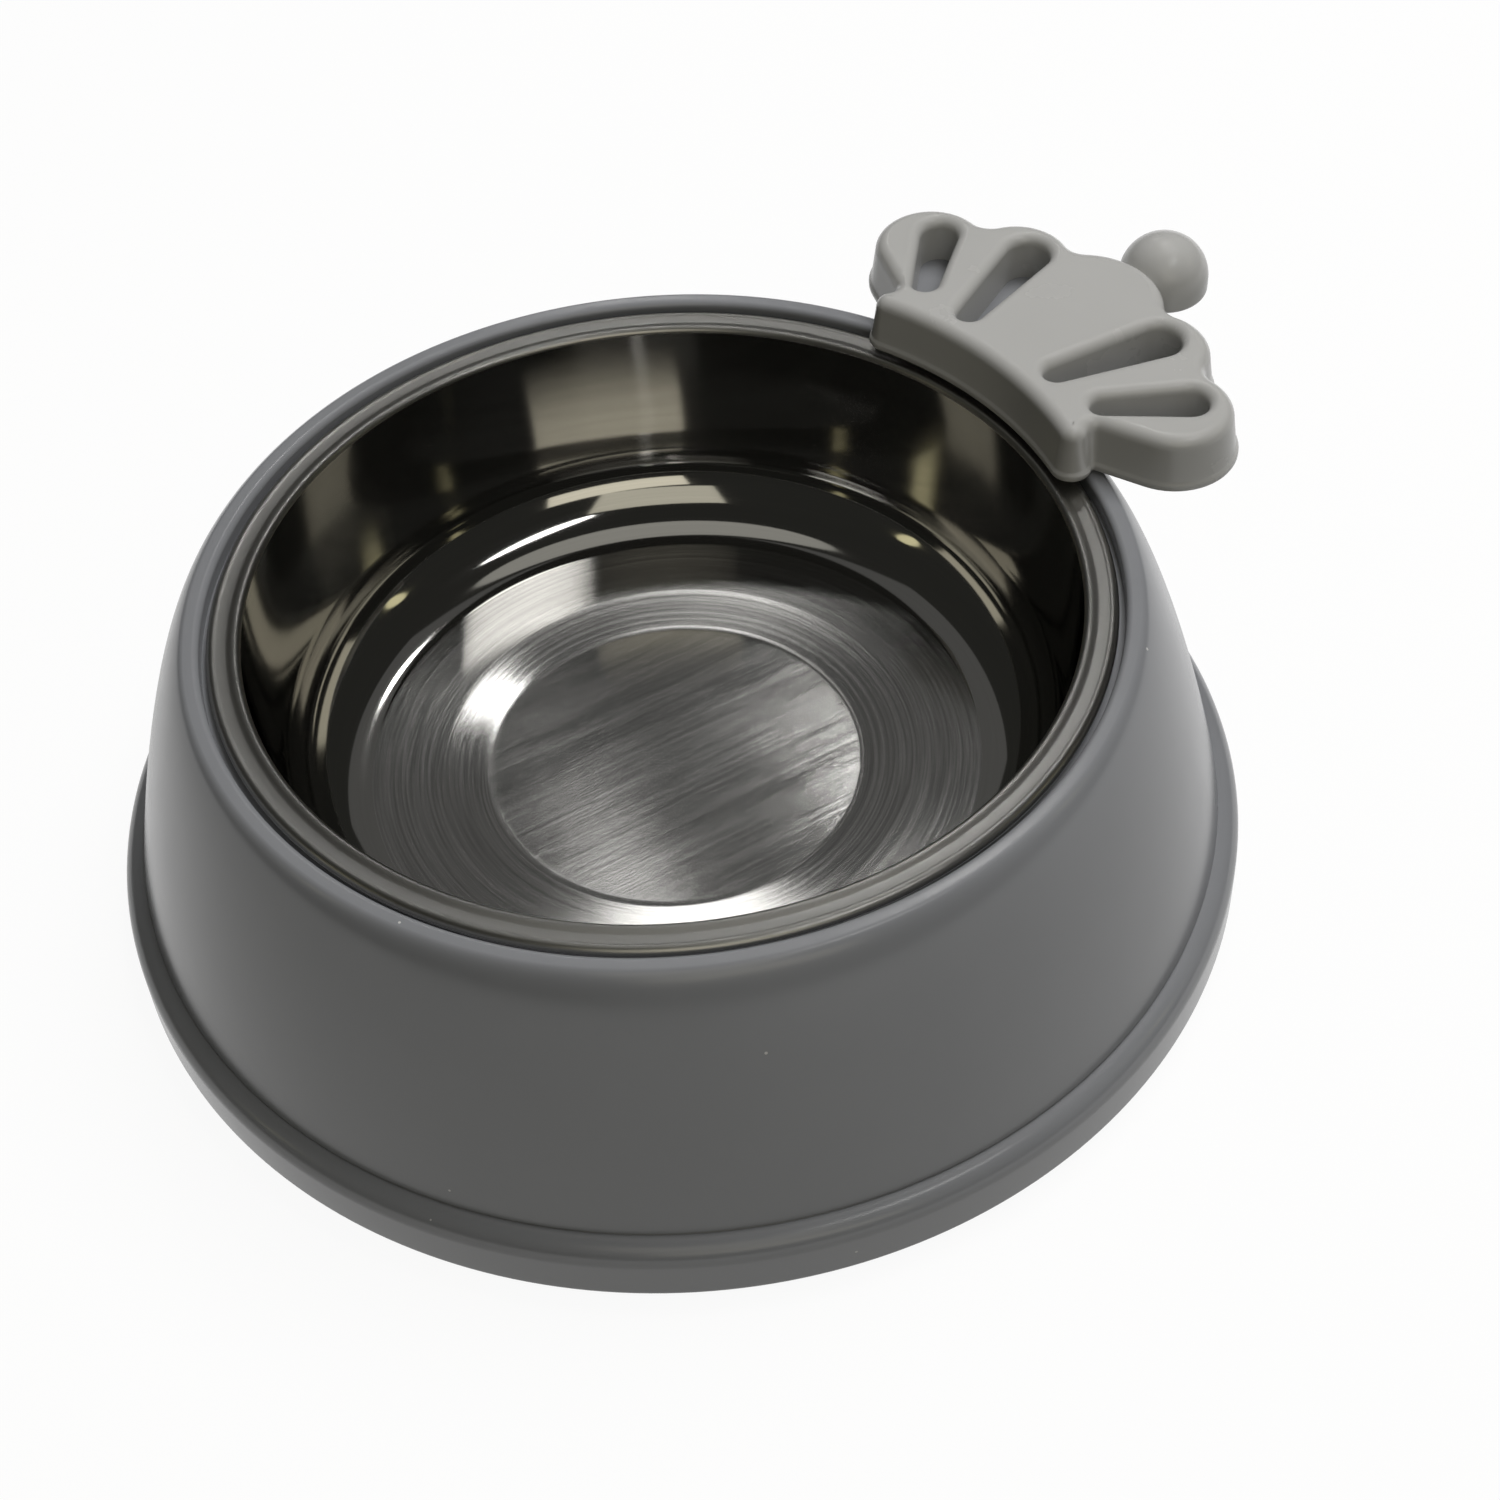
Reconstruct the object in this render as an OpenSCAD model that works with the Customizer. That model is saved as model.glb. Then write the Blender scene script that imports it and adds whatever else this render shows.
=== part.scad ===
/* [Steel bowl] */
// Outside diameter of the rolled rim
rim_d = 132; // [110:1:160]
// Width of the rim from the mouth to its outer edge
rim_w = 4.9; // [4:0.1:6]
// Diameter of the bead rolled round the rim's edge
bead_d = 2; // [1.6:0.1:2.4]
// Depth of the bowl below its rim
bowl_depth = 35.8; // [28:0.1:43]
// Thickness of the steel sheet
sheet_t = 0.7; // [0.5:0.1:1]
// Radius of the bend between the wall and the bottom
bend_r = 13; // [9:0.5:20]
// Lean of the bowl's wall from upright, in degrees
wall_draft = 6; // [3:0.5:8]
// Diameter of the flat disc in the bottom
disc_d = 58; // [44:1:66]
// Slope of the ring between the disc and the bend, in degrees
ring_slope = 5.5; // [3:0.5:8]

/* [Base] */
// Height of the steel rim above the table
rim_h = 50.5; // [42:0.5:62]
// Diameter over the foot band
base_d = 173; // [144:0.1:208]
// Height of the foot band
band_h = 10; // [8:0.5:14]
// How far the band stands out from the wall above it
band_flare = 3.3; // [2:0.1:4.5]
// Wall thickness of the moulding
shell_t = 2.2; // [1.6:0.1:2.8]
// Height of the lip above the steel rim
lip_rise = 0.6; // [0:0.1:0.8]
// Small round on the outer edges of lip and foot
edge_r = 1; // [0.4:0.1:1.2]
// Width of the flat on top of the lip
lip_flat = 1.1; // [0.4:0.1:2]
// How far the flat of the shoulder reaches out before the wall turns down
shoulder_reach = 3.3; // [2:0.1:6]
// How far the wall's belly lies inside the groove above the band
belly_in = 3.9; // [1:0.1:6]
// How far up the wall the belly is drawn
belly_up = 18.5; // [8:0.5:24]
// Depth of the collar below the seat
collar_h = 6; // [3:0.5:10]
// Number of stiffening ribs inside the skirt
rib_count = 8; // [4:4:16]
// Depth of a rib from the wall
rib_depth = 5; // [3:0.5:8]
// Thickness of ribs, webs and gussets
rib_t = 2; // [1.4:0.1:2.6]

/* [Crown] */
// Thickness of the crown
crown_t = 8.7; // [7:0.1:11]
// Gap between the steel rim and the crown's underside
crown_gap = 1.3; // [1.2:0.1:2.5]
// How far the crown reaches in over the rim
crown_overhang = 3.6; // [2.5:0.1:4.5]
// Half of the angle that the crown's inner band covers, in degrees
band_half_angle = 18.5; // [14:0.5:22]
// Width of the inner band
inner_band_w = 5.2; // [4.5:0.1:6.5]
// Radius of the rounded notches between the lobes
notch_r = 3; // [2:0.1:4]
// Width of the wall that hides the tongue's edge
crown_wall = 2.2; // [1.6:0.1:2.6]
// Depth of the pocket that the tongue fits
pocket_depth = 1; // [0.6:0.1:2]
// Height of the small lip round the crown's bottom edge
crown_lip_h = 1.4; // [0.8:0.1:2]
// How far that lip stands out
crown_lip_w = 0.6; // [0.2:0.1:0.8]
// Radius of the ball at the tip
ball_r = 7.1; // [5:0.1:8]
// Height of the ball's flat bottom above the crown's underside
ball_flat = 1.6; // [0:0.1:3]
// Height of the ball's centre above the crown's underside
ball_rise = 4.1; // [3.1:0.1:6]

/* [Fixings] */
// Thickness of the tongue under the crown
tongue_t = 2.2; // [1.8:0.1:3]
// Shank diameter of the crown's screws
screw_d = 2.9; // [2.2:0.1:3.5]
// Head diameter of the crown's screws
screw_head_d = 5.4; // [4.5:0.1:6]
// Head height of the crown's screws
screw_head_h = 2; // [1.5:0.1:2.5]
// Length of the screws below the head
screw_len = 6; // [5:0.1:7]
// Distance of each screw from the crown's centre line
screw_x = 5; // [4:0.1:6]

/* [Feet] */
// Diameter of a foot's pad
foot_d = 10; // [8:0.5:12]
// How far a foot stands out below the band
foot_stand = 0.8; // [0.5:0.1:1.5]
// Thickness of a foot's pad
foot_t = 2; // [1.6:0.1:3]
// Diameter of a foot's stem
stem_d = 4; // [3:0.1:5]
// Length of a foot's stem
stem_len = 6; // [4:0.5:7]

/* [Clearances] */
// Gap under the bead and above what it seats on
seat_gap = 0.3; // [0.2:0.05:0.6]
// Radial gap between the rim and the lip
rim_gap = 0.9; // [0.6:0.1:1.5]
// Radial gap between the bowl's wall and the seat's inner edge
wall_gap = 1; // [0.8:0.1:2]
// Tilt that the bowl has room for under the crown, in degrees
tilt_room = 15; // [5:1:16]
// Gap round the tongue in its pocket
tongue_gap = 0.3; // [0.2:0.05:0.5]
// Gap round screws and stems in their holes
hole_gap = 0.1; // [0.05:0.05:0.2]

/* [Hidden] */
$fn = 96;
ring_fn = 4 * $fn;
arc_steps = 12;
wall_steps = 18;
eps = 0.01;

// Bowl
rim_r = rim_d / 2;
mouth_r = rim_r - rim_w;
bead_r = bead_d / 2;
disc_r = disc_d / 2;
// Centre of the bend, which the wall and the ring both touch
bend_z = (bend_r * cos(ring_slope) - bowl_depth
          + tan(ring_slope) * (mouth_r - bend_r / cos(wall_draft) + bend_r * sin(ring_slope) - disc_r))
         / (1 - tan(wall_draft) * tan(ring_slope));
bend_c = mouth_r - bend_r / cos(wall_draft) + bend_z * tan(wall_draft);
function wall_r(z, out) = bend_c + (bend_r + out) / cos(wall_draft) + (z - bend_z) * tan(wall_draft);

// Base
base_r = base_d / 2;
groove_r = base_r - band_flare;
groove_z = foot_stand + band_h;
lip_r = rim_r + rim_gap;
lip_z = rim_h + lip_rise;
seat_z = rim_h - bead_d - seat_gap;
seat_r = wall_r(-bead_d, sheet_t) + wall_gap;
ledge_z = seat_z - shell_t;
// Share of the wall's curve at which its inner face starts, below the ledge
inner_start = 0.3;
shoulder_r = lip_r + edge_r + lip_flat;
wall_curve = [[shoulder_r, lip_z],
              [shoulder_r + shoulder_reach, lip_z],
              [groove_r - belly_in, groove_z + belly_up],
              [groove_r, groove_z]];

// Tilt of the bowl: its axis lies under the crown, as far in from the rim's edge as the overhang
tilt_y = rim_r - crown_overhang;
relief_depth = crown_overhang * sin(tilt_room) + seat_gap;
relief_margin = 3;
// Ledge left between the relief and the lip
relief_edge = 0.3;
relief_angle = acos(tilt_y / rim_r) + relief_margin;

// Crown, with each lobe as [inner centre, inner radius, outer centre, outer radius] from the rim's edge
crown_z = rim_h + crown_gap;
inner_r = rim_r - crown_overhang;
outer_lobe = [[17, 2], 5.5, [27.3, 10.1], 9.35];
inner_lobe = [[9, 6], 6, [15.2, 17.4], 9.35];
middle_c = [0, 17.6];
middle_r = 13;
body_w = 36;
body_y = [-2, 14];
outer_slot = [[20, 2.5], 2, [27.9, 12.4], 3];
inner_slot = [[9.8, 2.6], 2, [14.6, 19.2], 3.6];
ball_y = 35.2;
ball_lap = 0.5;
corner_notch_r = 1;
band_end_r = inner_band_w / 2;
band_end = (inner_r + band_end_r) * [sin(band_half_angle), cos(band_half_angle)] - [0, rim_r];

// Tongue and screws
tongue_top = crown_z + pocket_depth;
tongue_z = tongue_top - tongue_t;
tongue_inset = crown_wall + tongue_gap;
root_w = 5;
gusset_x = 10;
gusset_end = 20;
screw_y = 22.6;
recess_w = 0.8;
recess_l = 3;
recess_depth = 1;

// Feet
foot_count = 4;
boss_wall = 2.5;
boss_in = 2;
boss_d = stem_d + 2 * boss_wall;
boss_z = foot_t;
boss_ring_r = base_r - shell_t - boss_d / 2 - boss_in;
stem_room = 0.6;
boss_cap = 1.7;
boss_top = boss_z + stem_len + stem_room + boss_cap;
foot_edge = 0.6;

function arc(c, r, from, to, steps = arc_steps) =
    [for (i = [0:steps]) c + r * [cos(from + (to - from) * i / steps),
                                  sin(from + (to - from) * i / steps)]];
function curve(p, t) =
    pow(1 - t, 3) * p[0] + 3 * t * pow(1 - t, 2) * p[1] + 3 * t * t * (1 - t) * p[2] + pow(t, 3) * p[3];
function slope(p, t) =
    pow(1 - t, 2) * (p[1] - p[0]) + 2 * t * (1 - t) * (p[2] - p[1]) + t * t * (p[3] - p[2]);
function inward(v) = [v.y, -v.x] / norm(v);
// Points down the wall, a given depth inside its outer face
function wall_points(depth, first = 0) =
    [for (i = [0:wall_steps])
        let (t = first + (1 - first) * i / wall_steps)
        curve(wall_curve, t) + depth * inward(slope(wall_curve, t))];
function reversed(list) = [for (i = [len(list) - 1:-1:0]) list[i]];
// Centre of the round that touches two circles from outside, on the left of the way from a to b
function notch_centre(a, ra, b, rb, r) =
    let (d = norm(b - a),
         along = (pow(ra + r, 2) - pow(rb + r, 2) + d * d) / (2 * d),
         side = sqrt(pow(ra + r, 2) - along * along),
         u = (b - a) / d)
    a + along * u + side * [-u.y, u.x];

// Direction square to a lobe's right side, and the centre of the round that touches that side and a circle
function side_normal(bar) =
    let (run = bar[2] - bar[0],
         turn = atan2(run.y, run.x) - acos((bar[1] - bar[3]) / norm(run)))
    [cos(turn), sin(turn)];
function corner_slide(bar, b, rb, r) =
    let (n = side_normal(bar), w = b - bar[0], off = bar[1] + r - w * n)
    w * [-n.y, n.x] + sqrt(pow(rb + r, 2) - off * off);

// Two circles and the straight sides that join them, a hair inside the lines that touch both
module taper_bar(bar, inset) {
    a = bar[0];
    b = bar[2];
    ra = bar[1] - inset;
    rb = bar[3] - inset;
    d = norm(b - a);
    heading = atan2(b.y - a.y, b.x - a.x);
    touch = acos((ra - rb) / d);
    translate(a) circle(ra);
    translate(b) circle(rb);
    right = [cos(heading - touch), sin(heading - touch)];
    left = [cos(heading + touch), sin(heading + touch)];
    polygon([a + (ra - eps) * right,
             b + (rb - eps) * right,
             b + (rb - eps) * left,
             a + (ra - eps) * left]);
}

// Fills the notch between two circles up to a round that runs a hair into both
module notch_fill(a, ra, b, rb, r, inset) {
    c = notch_centre(a, ra - eps, b, rb - eps, r);
    difference() {
        polygon([a, b, c]);
        translate(c) circle(r + inset);
    }
}

// Fills the corner between a lobe's right side and a circle in the same way
module corner_fill(bar, b, rb, r, inset) {
    side = bar[1] - 2 * eps;
    n = side_normal(bar);
    along = corner_slide([bar[0], side, bar[2], bar[3] - eps], b, rb - eps, r) * [-n.y, n.x];
    c = bar[0] + (side + r) * n + along;
    difference() {
        polygon([bar[0], b, c, bar[0] + (side - inset) * n + along]);
        translate(c) circle(r + inset);
    }
}

module both_sides() {
    children();
    mirror([1, 0]) children();
}

// The inner band, a stretch of a ring round the bowl's axis
module inner_band(inset) {
    reach = 2 * rim_r;
    intersection() {
        translate([0, -rim_r]) difference() {
            circle(inner_r + inner_band_w - inset, $fn = ring_fn);
            circle(inner_r + inset, $fn = ring_fn);
        }
        translate([0, -rim_r]) polygon([[0, 0],
            reach * [sin(band_half_angle), cos(band_half_angle)],
            reach * [-sin(band_half_angle), cos(band_half_angle)]]);
    }
}

// Outline of the crown, drawn in all round by an inset, from the rim's edge
module crown_outline(inset = 0) {
    inner_band(inset);
    translate(middle_c) circle(middle_r - inset);
    translate([-body_w / 2 + inset, body_y[0] + inset])
        square([body_w - 2 * inset, body_y[1] - body_y[0] - 2 * inset]);
    both_sides() {
        translate(band_end) circle(band_end_r + eps - inset);
        taper_bar(outer_lobe, inset);
        taper_bar(inner_lobe, inset);
        notch_fill(inner_lobe[2], inner_lobe[3], outer_lobe[2], outer_lobe[3], notch_r, inset);
        notch_fill(middle_c, middle_r, inner_lobe[2], inner_lobe[3], notch_r, inset);
        corner_fill(outer_lobe, band_end, band_end_r, corner_notch_r, inset);
    }
}

// Outline of the tongue, grown by a gap where it is cut out of the crown
module tongue_outline(gap = 0) {
    difference() {
        translate([0, rim_r]) crown_outline(tongue_inset - gap);
        circle(lip_r - gap, $fn = ring_fn);
    }
}

module screw_places() {
    for (side = [-1, 1])
        translate([side * screw_x, rim_r + screw_y, tongue_z]) children();
}

function foot_angle(i) = (i - 0.5) * 360 / foot_count;
module foot_place(i) {
    rotate([0, 0, foot_angle(i)]) translate([boss_ring_r, 0, 0]) children();
}

// Section of the skirt, lip, seat and collar
module shell_section() {
    polygon(concat(
        [[lip_r, seat_z - eps], [lip_r, lip_z - edge_r]],
        arc([lip_r + edge_r, lip_z - edge_r], edge_r, 180, 90),
        wall_points(0),
        arc([groove_r, groove_z - band_flare], band_flare, 90, 0),
        arc([base_r - edge_r, foot_stand + edge_r], edge_r, 0, -90),
        [[base_r - shell_t, foot_stand], [base_r - shell_t, groove_z - band_flare - shell_t]],
        reversed(wall_points(shell_t, inner_start)),
        [[lip_r, ledge_z]]));
    translate([seat_r, ledge_z]) square([lip_r + shell_t - seat_r, shell_t]);
    translate([seat_r, ledge_z - collar_h]) square([shell_t, collar_h + shell_t]);
}

module skirt_rib() {
    rotate([90, 0, 0]) linear_extrude(rib_t, center = true)
        polygon(concat(wall_points(shell_t / 2, inner_start),
                       reversed(wall_points(shell_t + rib_depth, inner_start))));
}

// Boss for a foot's stem, tied to the foot band by a web
module foot_boss() {
    boss_h = boss_top - boss_z;
    translate([0, 0, boss_z]) cylinder(h = boss_h, d = boss_d);
    translate([0, -rib_t / 2, boss_z])
        cube([base_r - shell_t / 2 - boss_ring_r, rib_t, boss_h - 2 * shell_t]);
}

// Tongue under the crown, its root on the lip and the gussets below it
module tongue() {
    translate([0, 0, tongue_z]) linear_extrude(tongue_t) tongue_outline();
    intersection() {
        translate([0, 0, ledge_z]) linear_extrude(tongue_top - ledge_z) tongue_outline();
        translate([0, 0, ledge_z]) cylinder(h = tongue_top - ledge_z, r = lip_r + root_w, $fn = ring_fn);
    }
    for (side = [-1, 1])
        translate([side * gusset_x, 0, 0]) rotate([90, 0, 90]) linear_extrude(rib_t, center = true)
            polygon([[lip_r + shell_t, tongue_z + eps],
                     [rim_r + gusset_end, tongue_z + eps],
                     wall_points(shell_t / 2)[round(wall_steps / 2)]]);
}

module base_shell() {
    color("slategray") difference() {
        union() {
            rotate_extrude($fn = ring_fn) shell_section();
            for (i = [0:rib_count - 1])
                rotate([0, 0, (i + 0.5) * 360 / rib_count]) skirt_rib();
            for (i = [1:foot_count])
                foot_place(i) foot_boss();
            tongue();
        }
        // Room for the back of the rim to dip when the bowl is tilted
        rotate([0, 0, 90 - relief_angle]) rotate_extrude(angle = 2 * relief_angle, $fn = ring_fn)
            translate([seat_r - eps, seat_z - relief_depth])
                square([lip_r - relief_edge - seat_r + eps, relief_depth + bead_d]);
        for (i = [1:foot_count])
            foot_place(i) translate([0, 0, boss_z - eps])
                cylinder(h = stem_len + stem_room + eps, d = stem_d + 2 * hole_gap);
        screw_places() translate([0, 0, -eps]) cylinder(h = tongue_t + 2 * eps, d = screw_d + 2 * hole_gap);
    }
}

// Section of the sheet from the middle out to the rolled bead and back
module bowl_section() {
    under_r = disc_r + sheet_t * tan(ring_slope / 2);
    bead_end = -180 - asin((bead_r - sheet_t) / bead_r);
    polygon(concat(
        [[0, -bowl_depth], [disc_r, -bowl_depth]],
        arc([bend_c, bend_z], bend_r, ring_slope - 90, -wall_draft),
        [[wall_r(0, 0), 0]],
        arc([rim_r - bead_r, -bead_r], bead_r, 90, bead_end, 2 * arc_steps),
        [[wall_r(-sheet_t, sheet_t), -sheet_t]],
        arc([bend_c, bend_z], bend_r + sheet_t, -wall_draft, ring_slope - 90),
        [[under_r, -bowl_depth - sheet_t], [0, -bowl_depth - sheet_t]]));
}

module steel_bowl() {
    color("silver") translate([0, 0, rim_h]) rotate_extrude($fn = ring_fn) bowl_section();
}

// Ball with a flat bottom, upright below its middle
module ball() {
    translate([0, rim_r + ball_y, crown_z]) {
        intersection() {
            translate([0, 0, ball_rise]) sphere(ball_r);
            translate([0, 0, ball_rise - ball_lap]) cylinder(h = 2 * ball_r, r = 2 * ball_r);
        }
        translate([0, 0, ball_flat]) cylinder(h = ball_rise - ball_flat, r = ball_r - eps);
    }
}

module crown() {
    color("lightgray") difference() {
        union() {
            translate([0, rim_r, crown_z]) linear_extrude(crown_t) crown_outline();
            translate([0, rim_r, crown_z]) linear_extrude(crown_lip_h) crown_outline(-crown_lip_w);
            ball();
        }
        translate([0, rim_r, crown_z - eps]) linear_extrude(crown_t + 2 * eps) both_sides() {
            taper_bar(outer_slot, 0);
            taper_bar(inner_slot, 0);
        }
        translate([0, 0, crown_z - eps]) linear_extrude(pocket_depth + eps) tongue_outline(tongue_gap);
        screw_places() cylinder(h = screw_len + hole_gap, d = screw_d + 2 * hole_gap);
    }
}

module screw() {
    difference() {
        union() {
            translate([0, 0, -screw_head_h]) cylinder(h = screw_head_h, d = screw_head_d);
            translate([0, 0, -eps]) cylinder(h = screw_len + eps, d = screw_d);
        }
        for (turn = [0, 90])
            rotate([0, 0, turn]) translate([-recess_l / 2, -recess_w / 2, -screw_head_h - eps])
                cube([recess_l, recess_w, recess_depth + eps]);
    }
}

module crown_screws() {
    color("gainsboro") screw_places() screw();
}

module rubber_foot(i) {
    color("dimgray") foot_place(i) rotate_extrude()
        polygon([[0, 0], [foot_d / 2 - foot_edge, 0], [foot_d / 2, foot_edge], [foot_d / 2, foot_t],
                 [stem_d / 2, foot_t], [stem_d / 2, foot_t + stem_len], [0, foot_t + stem_len]]);
}

base_shell();
steel_bowl();
crown();
crown_screws();
rubber_foot(1);  // rubber_foot_1
rubber_foot(2);  // rubber_foot_2
rubber_foot(3);  // rubber_foot_3
rubber_foot(4);  // rubber_foot_4
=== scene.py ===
from math import acos, atan2, cos, degrees, hypot, pi, radians, sin, sqrt, tan

import bpy
from mathutils import Matrix, Vector


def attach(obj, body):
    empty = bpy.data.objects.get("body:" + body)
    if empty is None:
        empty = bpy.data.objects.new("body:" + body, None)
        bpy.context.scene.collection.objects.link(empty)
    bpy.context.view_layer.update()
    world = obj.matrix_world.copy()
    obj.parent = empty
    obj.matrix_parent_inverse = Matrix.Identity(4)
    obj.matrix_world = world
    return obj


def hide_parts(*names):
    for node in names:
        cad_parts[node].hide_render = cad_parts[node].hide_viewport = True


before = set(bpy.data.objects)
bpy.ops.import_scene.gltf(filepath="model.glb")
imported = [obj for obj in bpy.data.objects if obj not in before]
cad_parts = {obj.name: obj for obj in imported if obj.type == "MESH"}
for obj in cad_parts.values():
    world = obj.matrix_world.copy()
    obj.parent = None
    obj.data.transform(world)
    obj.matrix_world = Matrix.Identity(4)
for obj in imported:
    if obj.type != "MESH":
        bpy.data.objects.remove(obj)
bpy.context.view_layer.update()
mm = 0.001
fullTurn = 2 * pi
sameSpot = 2e-6  # points closer than this are one point
overshoot = 1  # a cutter reaches this far past what it cuts
print("frame loaded,", len(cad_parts), "nodes")


# Camera at the photo's viewing angle

view = {
    "place": (227.6, -151.0, 311.4),
    "right": (0.6256, 0.7788, -0.0455),
    "up": (-0.5542, 0.4847, 0.6768),
    "lens": 62.4,
    "sensor": 36,
    "nearest": 0.01,
}


def setCamera():
    bpy.ops.object.camera_add()
    camera = bpy.context.object
    camera.name = "photoCamera"
    right = Vector(view["right"]).normalized()
    back = right.cross(Vector(view["up"])).normalized()
    up = back.cross(right)
    turned = Matrix((right, up, back)).transposed()
    camera.matrix_world = Matrix.Translation(Vector(view["place"]) * mm) @ turned.to_4x4()
    camera.data.lens = view["lens"]
    camera.data.sensor_width = view["sensor"]
    camera.data.clip_start = view["nearest"]
    bpy.context.scene.camera = camera


# Drawing tools: a pen leaves a line of edges, straight or round, in edit mode

pen = {"at": (0.0, 0.0, 0.0)}
turnAxis = {"xz": (0, 1, 0), "xy": (0, 0, -1)}  # spin turns against the right-hand rule


def scaled(point):
    return tuple(value * mm for value in point)


def clearSelection():
    if bpy.context.object and bpy.context.object.mode != "OBJECT":
        bpy.ops.object.mode_set(mode="OBJECT")
    bpy.ops.object.select_all(action="DESELECT")


def pick(piece):
    clearSelection()
    piece.select_set(True)
    bpy.context.view_layer.objects.active = piece


def penDown(at):
    bpy.ops.mesh.select_mode(type="VERT")
    bpy.ops.mesh.primitive_plane_add(size=mm, location=scaled(at))
    bpy.ops.mesh.merge(type="CENTER")
    pen["at"] = tuple(at)


def startPiece(name, at):
    clearSelection()
    bpy.ops.mesh.primitive_plane_add(size=mm)
    piece = bpy.context.object
    piece.name = piece.data.name = name
    bpy.ops.object.mode_set(mode="EDIT")
    bpy.ops.mesh.delete(type="VERT")
    penDown(at)
    return piece


def lineTo(at):
    step = tuple((b - a) * mm for a, b in zip(pen["at"], at))
    bpy.ops.mesh.extrude_region_move(TRANSFORM_OT_translate={"value": step})
    pen["at"] = tuple(at)


def halfwayTo(at):
    return tuple((a + b) / 2 for a, b in zip(pen["at"], at))


def arcAbout(centre, turn, steps, plane):
    # turn is in degrees, from the plane's first axis towards its second
    bpy.ops.mesh.spin(steps=steps, angle=radians(turn), center=scaled(centre), axis=turnAxis[plane])
    second = 2 if plane == "xz" else 1
    across, along = pen["at"][0] - centre[0], pen["at"][second] - centre[second]
    c, s = cos(radians(turn)), sin(radians(turn))
    end = list(pen["at"])
    end[0] = centre[0] + c * across - s * along
    end[second] = centre[second] + s * across + c * along
    pen["at"] = tuple(end)


def mergeDoubles():
    bpy.ops.mesh.select_all(action="SELECT")
    bpy.ops.mesh.remove_doubles(threshold=sameSpot)


def faceOutward():
    bpy.ops.mesh.select_all(action="SELECT")
    bpy.ops.mesh.normals_make_consistent(inside=False)


def spinRound(steps):
    bpy.ops.mesh.select_all(action="SELECT")
    bpy.ops.mesh.spin(steps=steps, angle=fullTurn, center=(0, 0, 0), axis=(0, 0, 1))
    mergeDoubles()


def finishEdit():
    faceOutward()
    bpy.ops.object.mode_set(mode="OBJECT")


def selectEdgesAt(piece, *heights):
    # edges that lie flat at one of these heights
    bpy.ops.mesh.select_mode(type="EDGE")
    bpy.ops.mesh.select_all(action="DESELECT")
    bpy.ops.object.mode_set(mode="OBJECT")
    points = piece.data.vertices
    near = 1e-5
    for edge in piece.data.edges:
        first, last = (points[i].co.z for i in edge.vertices)
        edge.select = abs(first - last) < near and any(abs(first - h * mm) < near for h in heights)
    bpy.ops.object.mode_set(mode="EDIT")


def stackLoops(piece, heights):
    # joins drawn loops from the lowest up and closes both ends
    for low, high in zip(heights, heights[1:]):
        selectEdgesAt(piece, low, high)
        bpy.ops.mesh.bridge_edge_loops()
    for end in (heights[0], heights[-1]):
        selectEdgesAt(piece, end)
        bpy.ops.mesh.edge_face_add()


def mirrorAcross(piece):
    bpy.ops.object.mode_set(mode="OBJECT")
    mirror = piece.modifiers.new("mirror", "MIRROR")
    mirror.use_axis = (True, False, False)
    mirror.merge_threshold = sameSpot
    bpy.ops.object.modifier_apply(modifier=mirror.name)
    bpy.ops.object.mode_set(mode="EDIT")
    bpy.ops.mesh.select_all(action="SELECT")


def combine(piece, other, how):
    pick(piece)
    cut = piece.modifiers.new(how.lower(), "BOOLEAN")
    cut.operation = how
    cut.solver = "EXACT"
    cut.object = other
    bpy.ops.object.modifier_apply(modifier=cut.name)
    bpy.data.objects.remove(other)


def smoothSurface(piece, angle):
    pick(piece)
    bpy.ops.object.shade_smooth_by_angle(angle=radians(angle))
    weight = piece.modifiers.new("weight", "WEIGHTED_NORMAL")
    weight.keep_sharp = True
    bpy.ops.object.modifier_apply(modifier=weight.name)


def polar(radius, angle):
    return radius * cos(radians(angle)), radius * sin(radians(angle))


def roundPost(name, place, radius, low, high, sides=48):
    clearSelection()
    bpy.ops.mesh.primitive_cylinder_add(vertices=sides, radius=radius * mm, depth=(high - low) * mm)
    post = bpy.context.object
    post.name = name
    bpy.ops.object.mode_set(mode="EDIT")
    bpy.ops.transform.translate(value=scaled((place[0], place[1], (low + high) / 2)))
    bpy.ops.object.mode_set(mode="OBJECT")
    return post


# Steel dish

dish = {
    "rimHeight": 50.5, "rimRadius": 66, "mouthRadius": 61.1, "depth": 35.8, "sheet": 0.7,
    "bendRadius": 13, "wallLean": 6, "discRadius": 29, "ringSlope": 5.5,
    "mouldingRadius": 36.5, "mouldingSlope": 8, "mouldingRound": 20,
    "beadRadius": 1, "creaseRadius": 10, "foldRadius": 0.9, "rimDip": 0.22,
    "rollStart": 122, "rollEnd": -197.5,
    "discRings": (8, 16, 23), "creaseSteps": 4, "bendSteps": 36, "foldSteps": 8, "rollSteps": 26,
    "underSteps": 30, "steps": 224,
    "smoothAngle": 40, "floorEnd": 47, "rimBand": 0.75,
}


def bendCentre():
    lean, slope = radians(dish["wallLean"]), radians(dish["ringSlope"])
    r = dish["bendRadius"]
    height = (r * cos(slope) - dish["depth"]
              + tan(slope) * (dish["mouthRadius"] - r / cos(lean) + r * sin(slope) - dish["discRadius"]))
    height /= 1 - tan(lean) * tan(slope)
    return dish["mouthRadius"] - r / cos(lean) + height * tan(lean), dish["rimHeight"] + height


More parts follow.
